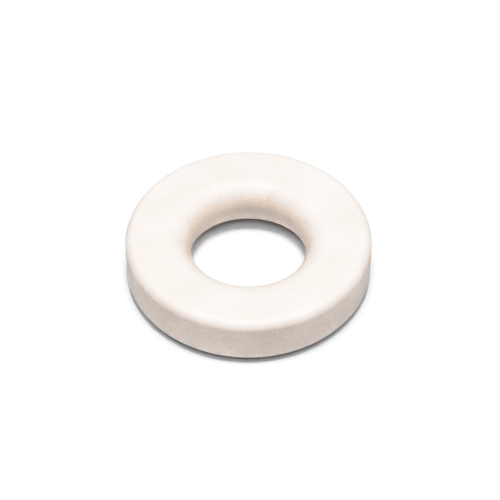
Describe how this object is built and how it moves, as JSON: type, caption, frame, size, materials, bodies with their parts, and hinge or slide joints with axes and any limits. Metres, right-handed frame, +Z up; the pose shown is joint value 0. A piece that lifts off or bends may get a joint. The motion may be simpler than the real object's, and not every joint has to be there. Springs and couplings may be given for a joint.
{
  "type": "flat washer",
  "caption": "Thick round flat washer in ivory ceramic, with small rounds on its outer corners and wide soft rounds at both mouths of its hole.",
  "frame": {"origin": "on the axis of the hole, in the plane of the bottom face that the washer lies on", "axes": "+Z runs up the hole, from the bottom face to the top face, which has the wider flat; the ring is round, so +X and +Y are any two directions across it"},
  "size_m": [0.018, 0.018, 0.004],
  "materials": {
    "alumina": "ivory alumina, pressed, tumbled and fired, unglazed, with a smooth satin surface"
  },
  "bodies": {
    "root": {"washer": "alumina"}
  },
  "joints": []
}
